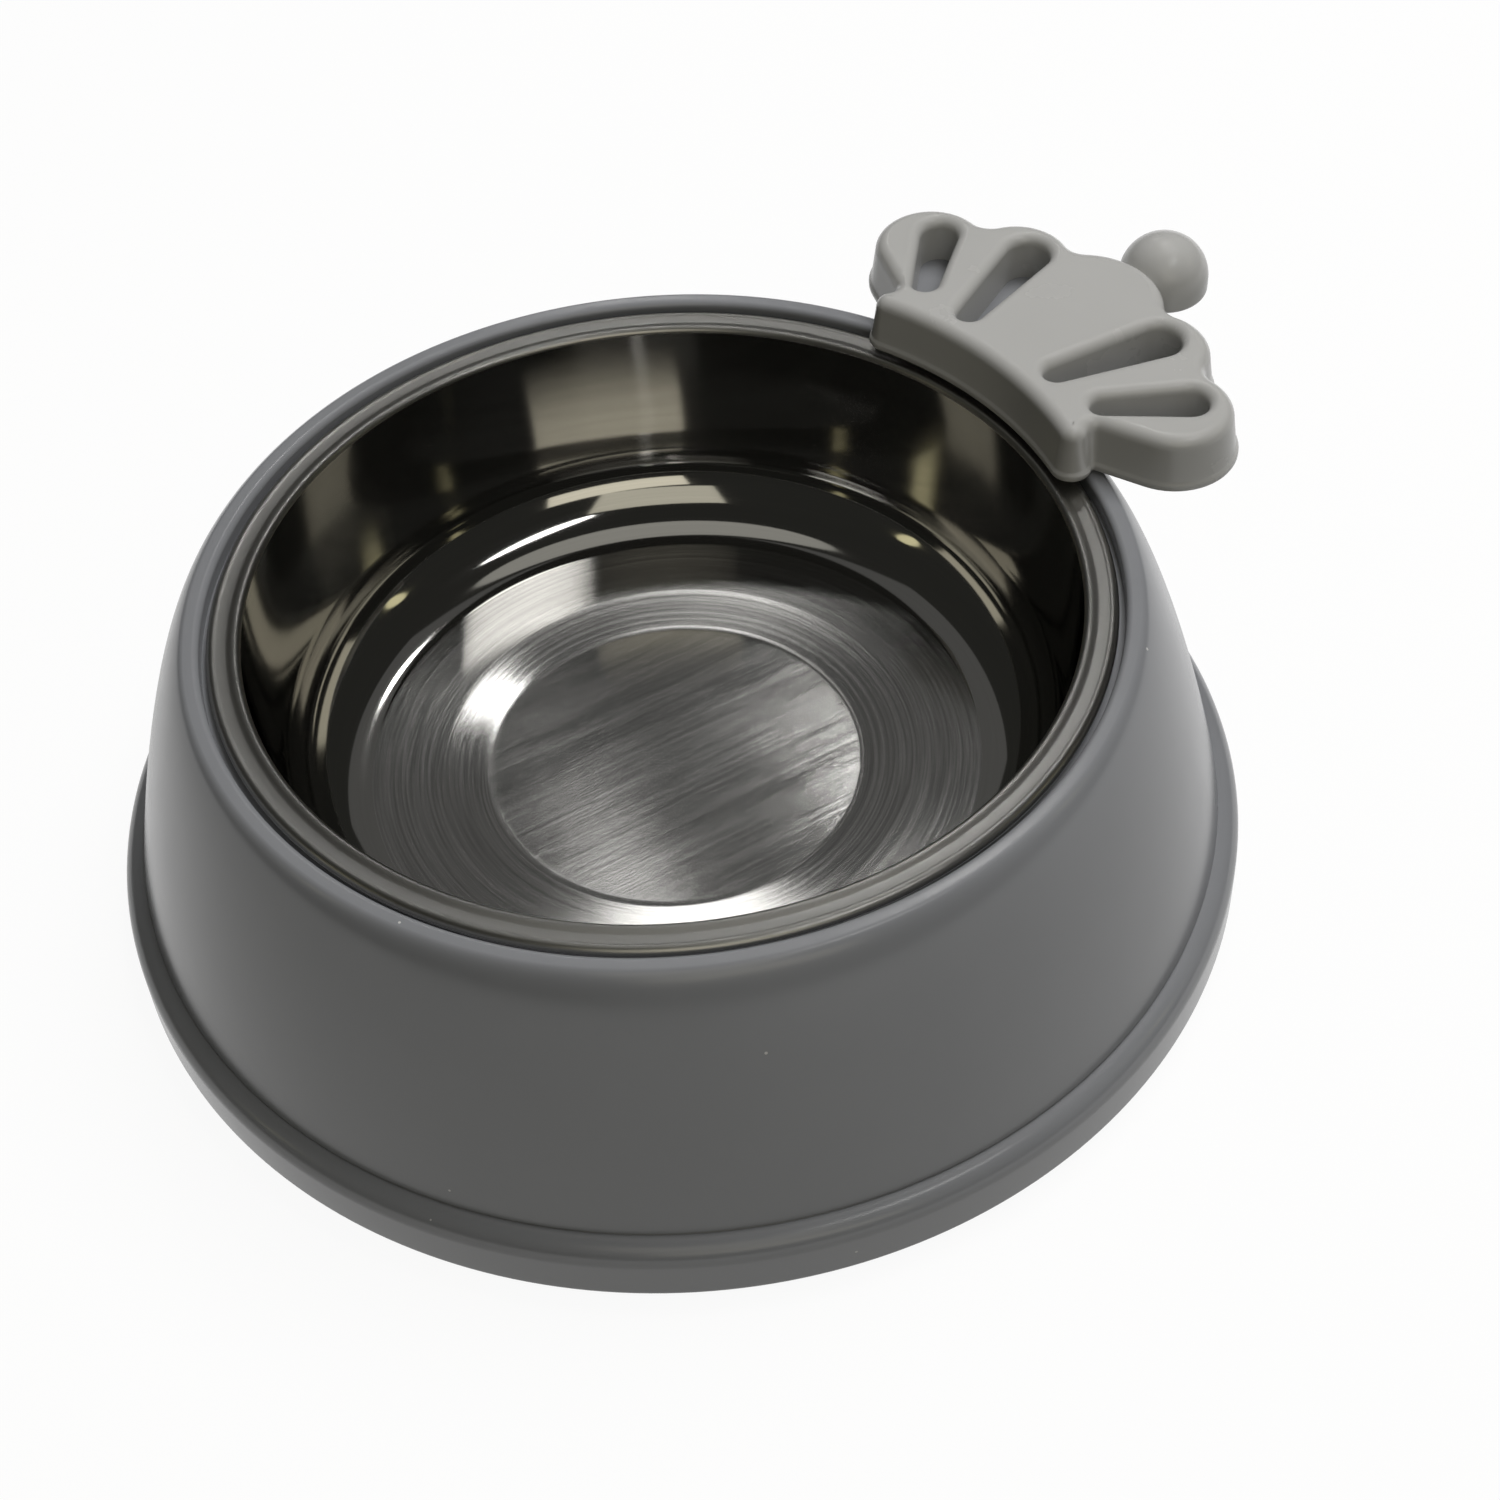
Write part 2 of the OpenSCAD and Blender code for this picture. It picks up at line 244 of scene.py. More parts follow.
def drawDishInside(bend, floor):
    # from the middle over the disc, the moulding and the ring, and round the bend to the wall
    slope, steep, r = dish["ringSlope"], dish["mouldingSlope"], dish["bendRadius"]
    crease, steps = dish["creaseRadius"], dish["creaseSteps"]
    creaseStart = dish["discRadius"] - crease * tan(radians(steep / 2))
    for reach in (*dish["discRings"], creaseStart):
        lineTo((reach, 0, floor))
    arcAbout((creaseStart, 0, floor + crease), steep, steps, "xz")
    bendStart = (bend[0] + r * sin(radians(slope)), 0, bend[1] - r * cos(radians(slope)))
    mouldingEnd = dish["mouldingRadius"]
    edgeHeight = floor + (mouldingEnd - dish["discRadius"]) * tan(radians(steep))
    flatter = degrees(atan2(bendStart[2] - edgeHeight, bendStart[0] - mouldingEnd))
    ease = dish["mouldingRound"] * tan(radians((steep - flatter) / 2))
    across, rise = polar(ease, steep)
    mouldingStop = (mouldingEnd - across, 0, edgeHeight - rise)
    lineTo(halfwayTo(mouldingStop))
    lineTo(mouldingStop)
    across, rise = polar(dish["mouldingRound"], steep - 90)
    arcAbout((mouldingStop[0] + across, 0, mouldingStop[2] + rise), flatter - steep, steps, "xz")
    lineTo(halfwayTo(bendStart))
    lineTo(bendStart)
    arcAbout((bend[0], 0, bend[1]), 90 - slope - dish["wallLean"], dish["bendSteps"], "xz")


def drawDishRim():
    # up the wall, over the fold and along the slightly hollow rim to the rolled bead
    top, mouth, lean = dish["rimHeight"], dish["mouthRadius"], dish["wallLean"]
    fold, bead = dish["foldRadius"], dish["beadRadius"]
    reach = fold * tan(radians((90 - lean) / 2))
    foldStart = (mouth - reach * sin(radians(lean)), 0, top - reach * cos(radians(lean)))
    lineTo(halfwayTo(foldStart))
    lineTo(foldStart)
    arcAbout((mouth + reach, 0, top - fold), lean - 90, dish["foldSteps"], "xz")
    beadCentre = (dish["rimRadius"] - bead, 0, top - bead)
    across, rise = polar(bead, dish["rollStart"])
    rollAt = (beadCentre[0] + across, 0, beadCentre[2] + rise)
    rimStart = pen["at"][0]
    half = (rollAt[0] - rimStart) / 2
    for share in (0.25, 0.5, 0.75, 1):
        lineTo((rimStart + half * share, 0, top - dish["rimDip"] * (1 - cos(pi * share)) / 2))
    lineTo(rollAt)
    arcAbout(beadCentre, dish["rollEnd"] - dish["rollStart"], dish["rollSteps"], "xz")


def drawDishOutside(bend, floor):
    # down the back of the sheet to the middle
    lean, slope, sheet = dish["wallLean"], dish["ringSlope"], dish["sheet"]
    back, under = dish["bendRadius"] + sheet, dish["rimHeight"] - sheet
    lineTo((bend[0] + back / cos(radians(lean)) + (under - bend[1]) * tan(radians(lean)), 0, under))
    across, rise = polar(back, -lean)
    lineTo((bend[0] + across, 0, bend[1] + rise))
    arcAbout((bend[0], 0, bend[1]), slope + lean - 90, dish["underSteps"], "xz")
    lineTo((dish["discRadius"] + sheet * tan(radians(slope / 2)), 0, floor - sheet))
    lineTo((0, 0, floor - sheet))


def makeDish():
    bend, floor = bendCentre(), dish["rimHeight"] - dish["depth"]
    piece = startPiece("steelDish", (0, 0, floor))
    drawDishInside(bend, floor)
    drawDishRim()
    drawDishOutside(bend, floor)
    spinRound(dish["steps"])
    finishEdit()
    smoothSurface(piece, dish["smoothAngle"])
    print("dish made,", len(piece.data.polygons), "faces")
    return piece


# Crown over the rim, drawn as half an outline and mirrored

crown = {
    "under": 51.8, "top": 60.5, "edgeRound": 2.2, "slotRound": 1.8, "lean": 1.1, "lipHeight": 1.4,
    # height and inset up the lip, from the bottom and from the lip's own top
    "lipFoot": ((0, 0.3), (0.12, 0.1), (0.35, 0), (0.9, 0)),
    "lipHead": ((-0.25, 0.1), (0, 0.3), (0.3, 0.42)),
    "edgeSteps": 8, "slotSteps": 6, "smoothAngle": 34,
    # pieces in each round of the outline, of a slot and of the ball
    "outlineSteps": {"face": 14, "end": 18, "corner": 9, "tip": 26, "notch": 10, "lobe": 14,
                     "backNotch": 8, "middle": 16},
    "slotEndSteps": (14, 20), "ballSteps": 24, "ballEdgeSteps": 6, "ballSides": 72, "pocketSides": 256,
    "innerRadius": 62.9, "halfAngle": 18.5, "bandWidth": 4.2, "cornerRound": 1.5, "notchRound": 3.5,
    "outerLobe": ((17, 68), 5, (27.3, 76.1), 8.85),
    "innerLobeTip": ((15.2, 83.4), 8.85),
    "middle": ((0, 83.6), 12.5),
    "outerSlot": ((20, 68.5), 2, (27.9, 78.4), 3),
    "innerSlot": ((9.8, 68.6), 2, (14.6, 85.2), 3.6),
    "ballPlace": 101.2, "ballMiddle": 55.9, "ballRadius": 7.1, "ballFlat": 53.4, "ballEdge": 0.9,
    "pocketTop": 52.8, "pocketInset": 1.7, "pocketStart": 66.6,
    "screwAt": (5, 88.6), "screwHole": 1.55, "screwTop": 56.7,
}


def angleTo(a, b):
    return degrees(atan2(b[1] - a[1], b[0] - a[0]))


def roundBetween(a, ra, b, rb, r):
    # centre of a round that touches two circles from outside, left of the way from a to b
    d = hypot(b[0] - a[0], b[1] - a[1])
    along = ((ra + r) ** 2 - (rb + r) ** 2 + d * d) / (2 * d)
    side = sqrt((ra + r) ** 2 - along * along)
    ux, uy = (b[0] - a[0]) / d, (b[1] - a[1]) / d
    return a[0] + along * ux - side * uy, a[1] + along * uy + side * ux


def drawHalfCrown(height, inset):
    # from the middle of the inner face round the lobes to the middle of the back
    def about(centre, turn, steps):
        arcAbout((centre[0], centre[1], height), turn, steps, "xy")

    near, nearR, tip, tipR = crown["outerLobe"]
    lobe, lobeR = crown["innerLobeTip"]
    middle, middleR = crown["middle"]
    half, endR = crown["halfAngle"], crown["bandWidth"] / 2
    face = crown["innerRadius"]
    end = polar(face + endR, 90 - half)
    heading = angleTo(near, tip)
    touch = heading - degrees(acos((nearR - tipR) / hypot(tip[0] - near[0], tip[1] - near[1])))
    nx, ny = polar(1, touch)
    # the corner round touches the band's end and the lobe's straight side
    small = crown["cornerRound"]
    wx, wy = end[0] - near[0], end[1] - near[1]
    off = nearR + small - (wx * nx + wy * ny)
    slide = (-wx * ny + wy * nx) + sqrt((endR + small) ** 2 - off * off)
    corner = (near[0] + (nearR + small) * nx - slide * ny, near[1] + (nearR + small) * ny + slide * nx)
    notch = roundBetween(lobe, lobeR, tip, tipR, crown["notchRound"])
    backNotch = roundBetween(middle, middleR, lobe, lobeR, crown["notchRound"])

    steps = crown["outlineSteps"]
    penDown((0, face + inset, height))
    about((0, 0), -half, steps["face"])
    toCorner = angleTo(end, corner)
    about(end, toCorner + 90 + half, steps["end"])
    about(corner, touch - toCorner, steps["corner"])
    x, y = polar(tipR - inset, touch)
    start = pen["at"]
    for share in (0.2, 0.4, 0.6, 0.8):
        lineTo((start[0] + (tip[0] + x - start[0]) * share,
                start[1] + (tip[1] + y - start[1]) * share, height))
    lineTo((tip[0] + x, tip[1] + y, height))
    toNotch = angleTo(tip, notch)
    about(tip, toNotch - touch, steps["tip"])
    fromNotch = angleTo(lobe, notch)
    about(notch, fromNotch - toNotch, steps["notch"])
    toBack = angleTo(lobe, backNotch)
    about(lobe, toBack - fromNotch, steps["lobe"])
    fromBack = angleTo(middle, backNotch)
    about(backNotch, fromBack - toBack, steps["backNotch"])
    about(middle, 90 - fromBack, steps["middle"])


def crownStack(name, levels):
    piece = startPiece(name, (0, 0, 0))
    bpy.ops.mesh.delete(type="VERT")
    for height, inset in levels:
        drawHalfCrown(height, inset)
    mirrorAcross(piece)
    mergeDoubles()
    stackLoops(piece, [height for height, inset in levels])
    finishEdit()
    return piece


def roundedTop(top, edge, steps):
    # height and inset up a quarter round
    bends = [radians(90 * i / steps) for i in range(steps + 1)]
    return [(top - edge + edge * sin(bend), edge * (1 - cos(bend))) for bend in bends]


def drawSlot(slot, height, grow):
    near, nearR, tip, tipR = slot
    nearSteps, tipSteps = crown["slotEndSteps"]
    heading = angleTo(near, tip)
    touch = degrees(acos((nearR - tipR) / hypot(tip[0] - near[0], tip[1] - near[1])))
    x, y = polar(nearR + grow, heading + touch)
    penDown((near[0] + x, near[1] + y, height))
    arcAbout((near[0], near[1], height), 360 - 2 * touch, nearSteps, "xy")
    x, y = polar(tipR + grow, heading - touch)
    lineTo((tip[0] + x, tip[1] + y, height))
    arcAbout((tip[0], tip[1], height), 2 * touch, tipSteps, "xy")
    x, y = polar(nearR + grow, heading + touch)
    lineTo((near[0] + x, near[1] + y, height))


def slotCutter(name, slot):
    top, edge = crown["top"], crown["slotRound"]
    levels = [(crown["under"] - overshoot, 0), *roundedTop(top, edge, crown["slotSteps"]),
              (top + overshoot, edge)]
    piece = startPiece(name, (0, 0, 0))
    bpy.ops.mesh.delete(type="VERT")
    for height, grow in levels:
        drawSlot(slot, height, grow)
    mergeDoubles()
    stackLoops(piece, [height for height, grow in levels])
    finishEdit()
    return piece


def mirroredCopy(piece):
    pick(piece)
    bpy.ops.object.duplicate(linked=False)
    other = bpy.context.object
    bpy.ops.object.mode_set(mode="EDIT")
    bpy.ops.mesh.select_all(action="SELECT")
    bpy.ops.transform.mirror(constraint_axis=(True, False, False), center_override=(0, 0, 0))
    finishEdit()
    return other


def makeBall():
    # half a ball on a short upright drum with a rounded foot
    middle, radius = crown["ballMiddle"], crown["ballRadius"]
    flat, edge = crown["ballFlat"], crown["ballEdge"]
    ball = startPiece("crownBall", (0, 0, flat))
    lineTo((radius - edge, 0, flat))
    arcAbout((radius - edge, 0, flat + edge), 90, crown["ballEdgeSteps"], "xz")
    lineTo((radius, 0, middle))
    arcAbout((0, 0, middle), 90, crown["ballSteps"], "xz")
    spinRound(crown["ballSides"])
    bpy.ops.transform.translate(value=scaled((0, crown["ballPlace"], 0)))
    finishEdit()
    return ball


def drillScrewHoles(piece, low, high):
    across, along = crown["screwAt"]
    for side in (-1, 1):
        hole = roundPost("screwHole", (side * across, along), crown["screwHole"], low, high)
        combine(piece, hole, "DIFFERENCE")


def makeCrown():
    under, top, edge = crown["under"], crown["top"], crown["edgeRound"]
    lip, lean = crown["lipHeight"], crown["lean"]
    # a small lip at the bottom, then the leaning side up to the rounded top edge
    levels = [(under + rise, inset - lean) for rise, inset in crown["lipFoot"]]
    levels += [(under + lip + rise, inset - lean) for rise, inset in crown["lipHead"]]
    sideStart, sideInset = levels[-1]
    for share in (0.25, 0.5, 0.75):
        levels.append((sideStart + (top - edge - sideStart) * share, sideInset * (1 - share)))
    levels += roundedTop(top, edge, crown["edgeSteps"])
    piece = crownStack("crownPlate", levels)
    for slot in ("outerSlot", "innerSlot"):
        cutter = slotCutter(slot + "Cutter", crown[slot])
        other = mirroredCopy(cutter)
        combine(piece, cutter, "DIFFERENCE")
        combine(piece, other, "DIFFERENCE")
    inset, pocketTop = crown["pocketInset"], crown["pocketTop"]
    pocket = crownStack("pocketCutter", [(under - overshoot, inset), (pocketTop, inset)])
    keep = roundPost("pocketEdge", (0, 0), crown["pocketStart"], under - 2 * overshoot,
                     pocketTop + overshoot, crown["pocketSides"])
    combine(pocket, keep, "DIFFERENCE")
    combine(piece, pocket, "DIFFERENCE")
    drillScrewHoles(piece, under - overshoot, crown["screwTop"])
    combine(piece, makeBall(), "UNION")
    smoothSurface(piece, crown["smoothAngle"])
    print("crown made,", len(piece.data.polygons), "faces")
    return piece


# Stand: skirt, lip, seat and collar in one spun section, with the tongue, ribs and bosses joined on

stand = {
    "lipRadius": 66.9, "lipTop": 51.1, "edgeRound": 1, "wall": 2.2,
    "lipFlat": 1.1, "shoulderReach": 3.3, "bellyIn": 3.9, "bellyUp": 18.5,
    "grooveRadius": 83.2, "grooveHeight": 10.8, "grooveDepth": 0.35,
    "grooveShape": ((0.2, 1), (1, 0.2), (0.5, -0.1), (0, 0)),  # inward and up, in groove depths
    "bandRadius": 86.5, "bandRound": 3.3, "bottom": 0.8,
    "seatHeight": 48.2, "seatRadius": 62.66, "collarDepth": 6,
    "innerStart": 0.3, "curveSteps": 34, "innerSteps": 22, "ribSteps": 18, "steps": 256, "smoothAngle": 30,
    "lipSteps": 6, "bandSteps": 12, "bottomSteps": 5, "rootSteps": 36, "reliefSteps": 32,
    "ribCount": 8, "ribDepth": 5, "ribThickness": 2,
    "reliefDepth": 1.232, "reliefHalfAngle": 22,
    "tongueLow": 50.6, "tongueTop": 52.8, "tongueInset": 2, "rootWidth": 5, "rootHalfAngle": 13.5,
    "tongueStart": 0.4, "bite": 0.2,  # behind the lip's face, and into the piece it joins
    "gussetAt": 10, "gussetEnd": 86, "gussetFoot": 0.5,  # the foot is a share down the wall
    "footRing": 77.8, "footAngles": (45, 135, 225, 315),
    "bossRadius": 4.5, "bossLow": 2, "bossTop": 10.3, "stemHole": 2.1, "stemTop": 8.6,
}


def wallCurve():
    start = stand["lipRadius"] + stand["edgeRound"] + stand["lipFlat"]
    return ((start, stand["lipTop"]), (start + stand["shoulderReach"], stand["lipTop"]),
            (stand["grooveRadius"] - stand["bellyIn"], stand["grooveHeight"] + stand["bellyUp"]),
            (stand["grooveRadius"], stand["grooveHeight"]))


def wallPoint(share, inside=0):
    # a point down the wall's curve, a given depth inside its outer face
    a, b, c, d = wallCurve()
    rest = 1 - share
    place = [rest ** 3 * a[i] + 3 * share * rest ** 2 * b[i]
             + 3 * share ** 2 * rest * c[i] + share ** 3 * d[i] for i in (0, 1)]
    run = [rest ** 2 * (b[i] - a[i]) + 2 * share * rest * (c[i] - b[i])
           + share ** 2 * (d[i] - c[i]) for i in (0, 1)]
    length = hypot(*run)
    return place[0] + inside * run[1] / length, place[1] - inside * run[0] / length


def drawWall(first, last, inside, steps):
    for i in range(steps + 1):
        r, z = wallPoint(first + (last - first) * i / steps, inside)
        lineTo((r, 0, z))


def makeSkirt():
    lip, top, edge, wall = stand["lipRadius"], stand["lipTop"], stand["edgeRound"], stand["wall"]
    seat, seatR = stand["seatHeight"], stand["seatRadius"]
    ledge = seat - wall
    piece = startPiece("standShell", (seatR, 0, seat))
    lineTo((lip, 0, seat))
    lineTo((lip, 0, top - edge))
    arcAbout((lip + edge, 0, top - edge), -90, stand["lipSteps"], "xz")
    steps = stand["curveSteps"]
    for i in range(steps):
        r, z = wallPoint(i / steps)
        lineTo((r, 0, z))
    groove, grooveZ, deep = stand["grooveRadius"], stand["grooveHeight"], stand["grooveDepth"]
    for inward, up in stand["grooveShape"]:
        lineTo((groove - deep * inward, 0, grooveZ + deep * up))
    bandR, bend = stand["bandRadius"], stand["bandRound"]
    arcAbout((groove, 0, grooveZ - bend), -90, stand["bandSteps"], "xz")
    low = stand["bottom"]
    lineTo((bandR, 0, (grooveZ - bend + low + edge) / 2))
    lineTo((bandR, 0, low + edge))
    arcAbout((bandR - edge, 0, low + edge), -90, stand["bottomSteps"], "xz")
    lineTo((bandR - wall, 0, low))
    lineTo((bandR - wall, 0, grooveZ - bend - wall))
    drawWall(1, stand["innerStart"], wall, stand["innerSteps"])
    lineTo((lip, 0, ledge))
    lineTo((seatR + wall, 0, ledge))
    lineTo((seatR + wall, 0, ledge - stand["collarDepth"]))
    lineTo((seatR, 0, ledge - stand["collarDepth"]))
    lineTo((seatR, 0, seat))
    mergeDoubles()
    spinRound(stand["steps"])
    finishEdit()
    return piece


def plateFrom(name, points, thickness):
    # a flat plate in the xz plane, as thick as asked, half on each side
    piece = startPiece(name, (points[0][0], -thickness / 2, points[0][1]))
    for r, z in points[1:] + points[:1]:
        lineTo((r, -thickness / 2, z))
    mergeDoubles()
    bpy.ops.mesh.edge_face_add()
    bpy.ops.mesh.select_all(action="SELECT")
    bpy.ops.mesh.extrude_region_move(TRANSFORM_OT_translate={"value": (0, thickness * mm, 0)})
    finishEdit()
    return piece


def turnedCopies(piece, angles):
    copies = []
    for angle in angles:
        pick(piece)
        bpy.ops.object.duplicate(linked=False)
        other = bpy.context.object
        bpy.ops.object.mode_set(mode="EDIT")
        bpy.ops.mesh.select_all(action="SELECT")
        # with no window, rotate turns the other way
        bpy.ops.transform.rotate(value=-radians(angle), orient_axis="Z", center_override=(0, 0, 0))
        bpy.ops.object.mode_set(mode="OBJECT")
        copies.append(other)
    bpy.data.objects.remove(piece)
    return copies


def sector(name, corners, half, steps):
    # a stretch of ring about the axis, centred on the crown's side
    piece = startPiece(name, (*polar(corners[0][0], 90 - half), corners[0][1]))
    for r, z in corners[1:] + corners[:1]:
        lineTo((*polar(r, 90 - half), z))
    mergeDoubles()
    bpy.ops.mesh.edge_face_add()
    bpy.ops.mesh.select_all(action="SELECT")
    bpy.ops.mesh.spin(steps=steps, angle=-radians(2 * half), center=(0, 0, 0), axis=(0, 0, 1))
    mergeDoubles()
    finishEdit()
    return piece


def addTongue(piece):
    low, top, lip = stand["tongueLow"], stand["tongueTop"], stand["lipRadius"]
    tongue = crownStack("tongue", [(low, stand["tongueInset"]), (top, stand["tongueInset"])])
    edge = roundPost("tongueEdge", (0, 0), lip + stand["tongueStart"], low - overshoot, top + overshoot,
                     stand["steps"])
    combine(tongue, edge, "DIFFERENCE")
    rootLow, rootEnd = stand["seatHeight"] - stand["wall"] + stand["bite"], lip + stand["rootWidth"]
    root = sector("tongueRoot", [(lip, rootLow), (rootEnd, rootLow), (rootEnd, top), (lip, top)],
                  stand["rootHalfAngle"], stand["rootSteps"])
    combine(tongue, root, "UNION")
    gussetTop = low + stand["bite"]
    foot = wallPoint(stand["gussetFoot"], stand["wall"] / 2)
    gusset = plateFrom("gusset", [(lip + stand["wall"], gussetTop), (stand["gussetEnd"], gussetTop), foot],
                       stand["ribThickness"])
    turned = turnedCopies(gusset, [90])[0]
    for side in (-1, 1):
        pick(turned)
        bpy.ops.object.duplicate(linked=False)
        one = bpy.context.object
        bpy.ops.object.mode_set(mode="EDIT")
        bpy.ops.mesh.select_all(action="SELECT")
        bpy.ops.transform.translate(value=scaled((side * stand["gussetAt"], 0, 0)))
        bpy.ops.object.mode_set(mode="OBJECT")
        combine(tongue, one, "UNION")
    bpy.data.objects.remove(turned)
    combine(piece, tongue, "UNION")
    drillScrewHoles(piece, low - overshoot, top + overshoot)


def addRibs(piece):
    first, wall, steps = stand["innerStart"], stand["wall"], stand["ribSteps"]
    near = [wallPoint(first + (1 - first) * i / steps, wall / 2) for i in range(steps + 1)]
    deep = [wallPoint(1 - (1 - first) * i / steps, wall + stand["ribDepth"]) for i in range(steps + 1)]
    rib = plateFrom("rib", near + deep, stand["ribThickness"])
    count = stand["ribCount"]
    for one in turnedCopies(rib, [(i + 0.5) * 360 / count for i in range(count)]):
        combine(piece, one, "UNION")


def addBosses(piece):
    low, top = stand["bossLow"], stand["bossTop"]
    boss = roundPost("boss", (stand["footRing"], 0), stand["bossRadius"], low, top)
    near, far = stand["footRing"], stand["bandRadius"] - stand["wall"] / 2
    webTop = top - 2 * stand["wall"]
    web = plateFrom("bossWeb", [(near, low), (far, low), (far, webTop), (near, webTop)],
                    stand["ribThickness"])
    combine(boss, web, "UNION")
    for one in turnedCopies(boss, stand["footAngles"]):
        combine(piece, one, "UNION")
    for angle in stand["footAngles"]:
        hole = roundPost("stemHole", polar(stand["footRing"], angle), stand["stemHole"],
                         low - overshoot, stand["stemTop"])
        combine(piece, hole, "DIFFERENCE")


def makeStand():
    piece = makeSkirt()
    addRibs(piece)
    addBosses(piece)
    addTongue(piece)
    seat, lip = stand["seatHeight"], stand["lipRadius"]
    near, low, high = stand["seatRadius"] - overshoot / 2, seat - stand["reliefDepth"], seat + 2 * overshoot
    relief = sector("seatRelief", [(near, low), (lip, low), (lip, high), (near, high)],
                    stand["reliefHalfAngle"], stand["reliefSteps"])
    combine(piece, relief, "DIFFERENCE")
    smoothSurface(piece, stand["smoothAngle"])
    print("stand made,", len(piece.data.polygons), "faces")
    return piece


# Finishes

def newFinish(name):
    finish = bpy.data.materials.new(name)
    finish.use_nodes = True
    tree = finish.node_tree
    return finish, tree, tree.nodes["Principled BSDF"]


def addNode(tree, kind, inputs=None, **settings):
    node = tree.nodes.new(kind)
    for key, value in settings.items():
        setattr(node, key, value)
    for key, value in (inputs or {}).items():
        if isinstance(value, bpy.types.NodeSocket):
            tree.links.new(value, node.inputs[key])
        else:
            node.inputs[key].default_value = value
    return node


def objectCoords(tree):
    return addNode(tree, "ShaderNodeTexCoord").outputs["Object"]


def noise(tree, coords, scale, detail=3.0, roughness=0.5):
    inputs = {"Vector": coords, "Scale": scale, "Detail": detail, "Roughness": roughness}
    return addNode(tree, "ShaderNodeTexNoise", inputs).outputs["Fac"]


def spread(tree, value, low, high, start=0.3, end=0.7):
    inputs = {"Value": value, "From Min": start, "From Max": end, "To Min": low, "To Max": high}
    return addNode(tree, "ShaderNodeMapRange", inputs).outputs["Result"]


def blendColours(tree, factor, first, second):
    return addNode(tree, "ShaderNodeMix", {0: factor, 6: first, 7: second}, data_type="RGBA").outputs[2]


def maths(tree, how, a, b):
    return addNode(tree, "ShaderNodeMath", {0: a, 1: b}, operation=how).outputs[0]


def weighted(tree, first, second, share):
    # a share of the first and the rest of the second
    return maths(tree, "ADD", maths(tree, "MULTIPLY", first, share),
                 maths(tree, "MULTIPLY", second, 1 - share))


def bump(tree, height, strength, distance, under=None):
    inputs = {"Height": height, "Strength": strength, "Distance": distance}
    if under:
        inputs["Normal"] = under
    return addNode(tree, "ShaderNodeBump", inputs).outputs["Normal"]


def dust(tree, coords, scale, size, share):
    # scattered specks: near a cell's point, in a share of the cells
    cells = addNode(tree, "ShaderNodeTexVoronoi", {"Vector": coords, "Scale": scale})
    close = maths(tree, "LESS_THAN", cells.outputs["Distance"], size)
    chosen = addNode(tree, "ShaderNodeSeparateColor", {"Color": cells.outputs["Color"]}).outputs["Red"]
    return maths(tree, "MULTIPLY", close, maths(tree, "LESS_THAN", chosen, share))


shellFinish = {
    "pale": (0.240, 0.247, 0.264, 1), "deep": (0.218, 0.225, 0.241, 1), "speck": (0.55, 0.55, 0.54, 1),
    "gloss": (0.19, 0.25),
}
crownFinish = {
    "pale": (0.470, 0.470, 0.464, 1), "deep": (0.440, 0.440, 0.432, 1), "speck": (0.66, 0.66, 0.64, 1),
    "gloss": (0.22, 0.29),
}
mould = {
    # each texture's scale, detail and roughness
    "flow": (26, 4, 0.5), "smear": (60, 5, 0.6), "peel": (260, 2, 0.5), "fine": (3200, 2, 0.5),
    "peelBump": (0.05, 2e-4), "fineBump": (0.03, 5e-5),  # strength and depth
    "specks": (150, 0.035, 0.3),  # scale, size and share of the cells
    "refraction": 1.5,
}


def mouldedPlastic(name, look):
    finish, tree, shader = newFinish(name)
    coords = objectCoords(tree)
    flow = noise(tree, coords, *mould["flow"])
    colour = blendColours(tree, spread(tree, flow, 0, 1), look["deep"], look["pale"])
    specks = dust(tree, coords, *mould["specks"])
    tree.links.new(blendColours(tree, specks, colour, look["speck"]), shader.inputs["Base Color"])
    smear = noise(tree, coords, *mould["smear"])
    tree.links.new(spread(tree, smear, *look["gloss"]), shader.inputs["Roughness"])
    peel = bump(tree, noise(tree, coords, *mould["peel"]), *mould["peelBump"])
    fine = bump(tree, noise(tree, coords, *mould["fine"]), *mould["fineBump"], peel)
    tree.links.new(fine, shader.inputs["Normal"])
    shader.inputs["IOR"].default_value = mould["refraction"]
    return finish


steelFinish = {
    "pale": (0.50, 0.495, 0.48, 1), "deep": (0.42, 0.415, 0.40, 1),
    "wall": {"rough": (0.05, 0.085), "contrast": 0.30, "depth": 2e-6, "anisotropy": 0, "lineScale": 2600},
    "rim": {"rough": (0.33, 0.38), "contrast": 0.45, "depth": 3e-7, "anisotropy": 0.30, "lineScale": 3000},
    # detail and roughness of the fine and the broad lines, and how much broader these are
    "fineLines": (4, 0.65), "broadLines": (3, 0.6), "broader": 7, "fineShare": 0.6,
    "smear": (45, 4, 0.6), "lineWear": 0.55, "wearRange": (0.35, 0.65), "bump": 0.25,
    "drift": (9, 1), "driftReach": 0.004,
}
brushedFinish = {
    "pale": (0.56, 0.555, 0.545, 1), "deep": (0.38, 0.376, 0.368, 1), "anisotropy": 0.78,
    "discRough": (0.10, 0.17), "ringRough": (0.12, 0.17),
    "grainAngle": 82, "stretch": 25, "edge": 1.6, "discLines": 1.8, "bump": 0.25, "depth": 3e-5,
    # scale, detail and roughness
    "lines": (1500, 5, 0.7), "patches": (240, 3, 0.55), "ringLines": (3000, 4, 0.6), "smear": (45, 4, 0.6),
    "lineShare": 0.55, "lineWear": 0.6, "wearRange": (0.36, 0.64),
}


def flatCoords(tree, coords):
    return addNode(tree, "ShaderNodeVectorMath", {0: coords, 1: (1, 1, 0)}, operation="MULTIPLY").outputs[0]


